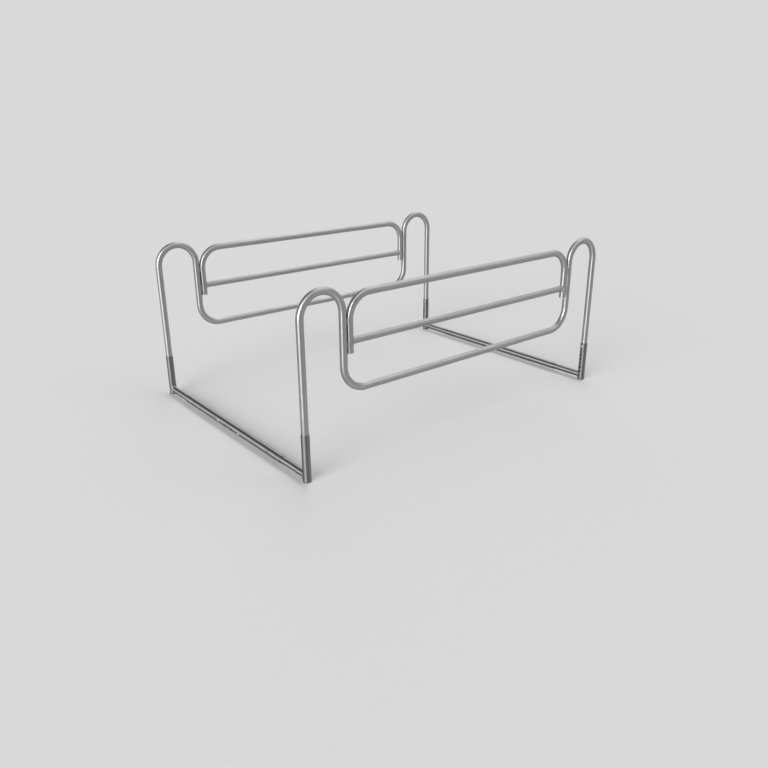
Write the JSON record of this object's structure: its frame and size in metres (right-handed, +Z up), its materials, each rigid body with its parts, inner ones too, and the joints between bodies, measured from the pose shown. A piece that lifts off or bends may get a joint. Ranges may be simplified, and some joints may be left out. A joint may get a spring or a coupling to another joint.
{
  "type": "bed side rails",
  "caption": "Pair of full-length tubular bed side rails on telescoping crossbars that lie under the mattress, with push-button height and width.",
  "frame": {"origin": "on the surface that the part stands on, under the middle of its box", "axes": "+X along the bed from foot to head, +Y across the bed to the sleeper's right, +Z up"},
  "size_m": [1.493, 1.0466, 0.6337],
  "materials": {
    "rail_steel": "satin nickel-chrome plate",
    "sleeve_steel": "duller satin plate",
    "button_steel": "bright plate",
    "spring_steel": "tempered strip",
    "plug_plastic": "moulded",
    "foot_plastic": "moulded"
  },
  "bodies": {
    "crossbars": {"foot_cross_tube": "sleeve_steel", "head_cross_tube": "sleeve_steel"},
    "left_support": {"left_foot_sleeve": "sleeve_steel", "left_foot_sleeve_plug": "foot_plastic", "left_foot_arm": "sleeve_steel", "left_foot_width_spring": "spring_steel", "left_head_sleeve": "sleeve_steel", "left_head_sleeve_plug": "foot_plastic", "left_head_arm": "sleeve_steel", "left_head_width_spring": "spring_steel"},
    "left_rail": {"left_rail_frame_tube": "rail_steel", "left_rail_top_tube": "rail_steel", "left_rail_middle_bar": "rail_steel", "left_rail_end_plugs": "plug_plastic", "left_foot_height_spring": "spring_steel", "left_head_height_spring": "spring_steel"},
    "right_support": {"right_foot_sleeve": "sleeve_steel", "right_foot_sleeve_plug": "foot_plastic", "right_foot_arm": "sleeve_steel", "right_foot_width_spring": "spring_steel", "right_head_sleeve": "sleeve_steel", "right_head_sleeve_plug": "foot_plastic", "right_head_arm": "sleeve_steel", "right_head_width_spring": "spring_steel"},
    "right_rail": {"right_rail_frame_tube": "rail_steel", "right_rail_top_tube": "rail_steel", "right_rail_middle_bar": "rail_steel", "right_rail_end_plugs": "plug_plastic", "right_foot_height_spring": "spring_steel", "right_head_height_spring": "spring_steel"},
    "left_foot_height_button": {"left_foot_height_button": "button_steel"},
    "left_foot_width_button": {"left_foot_width_button": "button_steel"},
    "left_head_height_button": {"left_head_height_button": "button_steel"},
    "left_head_width_button": {"left_head_width_button": "button_steel"},
    "right_foot_height_button": {"right_foot_height_button": "button_steel"},
    "right_foot_width_button": {"right_foot_width_button": "button_steel"},
    "right_head_height_button": {"right_head_height_button": "button_steel"},
    "right_head_width_button": {"right_head_width_button": "button_steel"}
  },
  "joints": [
    {"name": "left_width", "type": "slide", "parent": "crossbars", "child": "left_support", "axis": [0, -1, 0], "range_m": [-0.0508, 0.254]},
    {"name": "left_height", "type": "slide", "parent": "left_support", "child": "left_rail", "axis": [0, 0, 1], "range_m": [-0.1143, 0]},
    {"name": "right_width", "type": "slide", "parent": "crossbars", "child": "right_support", "axis": [0, 1, 0], "range_m": [-0.0508, 0.254]},
    {"name": "right_height", "type": "slide", "parent": "right_support", "child": "right_rail", "axis": [0, 0, 1], "range_m": [-0.1143, 0]},
    {"name": "left_foot_height_press", "type": "slide", "parent": "left_rail", "child": "left_foot_height_button", "axis": [-1, 0, 0], "range_m": [0, 0.004], "stiffness_N_per_m": 1200, "springref_m": -0.002, "deforming": ["left_foot_height_spring"]},
    {"name": "left_foot_width_press", "type": "slide", "parent": "left_support", "child": "left_foot_width_button", "axis": [1, 0, 0], "range_m": [0, 0.004], "stiffness_N_per_m": 1200, "springref_m": -0.002, "deforming": ["left_foot_width_spring"]},
    {"name": "left_head_height_press", "type": "slide", "parent": "left_rail", "child": "left_head_height_button", "axis": [1, 0, 0], "range_m": [0, 0.004], "stiffness_N_per_m": 1200, "springref_m": -0.002, "deforming": ["left_head_height_spring"]},
    {"name": "left_head_width_press", "type": "slide", "parent": "left_support", "child": "left_head_width_button", "axis": [-1, 0, 0], "range_m": [0, 0.004], "stiffness_N_per_m": 1200, "springref_m": -0.002, "deforming": ["left_head_width_spring"]},
    {"name": "right_foot_height_press", "type": "slide", "parent": "right_rail", "child": "right_foot_height_button", "axis": [-1, 0, 0], "range_m": [0, 0.004], "stiffness_N_per_m": 1200, "springref_m": -0.002, "deforming": ["right_foot_height_spring"]},
    {"name": "right_foot_width_press", "type": "slide", "parent": "right_support", "child": "right_foot_width_button", "axis": [1, 0, 0], "range_m": [0, 0.004], "stiffness_N_per_m": 1200, "springref_m": -0.002, "deforming": ["right_foot_width_spring"]},
    {"name": "right_head_height_press", "type": "slide", "parent": "right_rail", "child": "right_head_height_button", "axis": [1, 0, 0], "range_m": [0, 0.004], "stiffness_N_per_m": 1200, "springref_m": -0.002, "deforming": ["right_head_height_spring"]},
    {"name": "right_head_width_press", "type": "slide", "parent": "right_support", "child": "right_head_width_button", "axis": [-1, 0, 0], "range_m": [0, 0.004], "stiffness_N_per_m": 1200, "springref_m": -0.002, "deforming": ["right_head_width_spring"]}
  ]
}
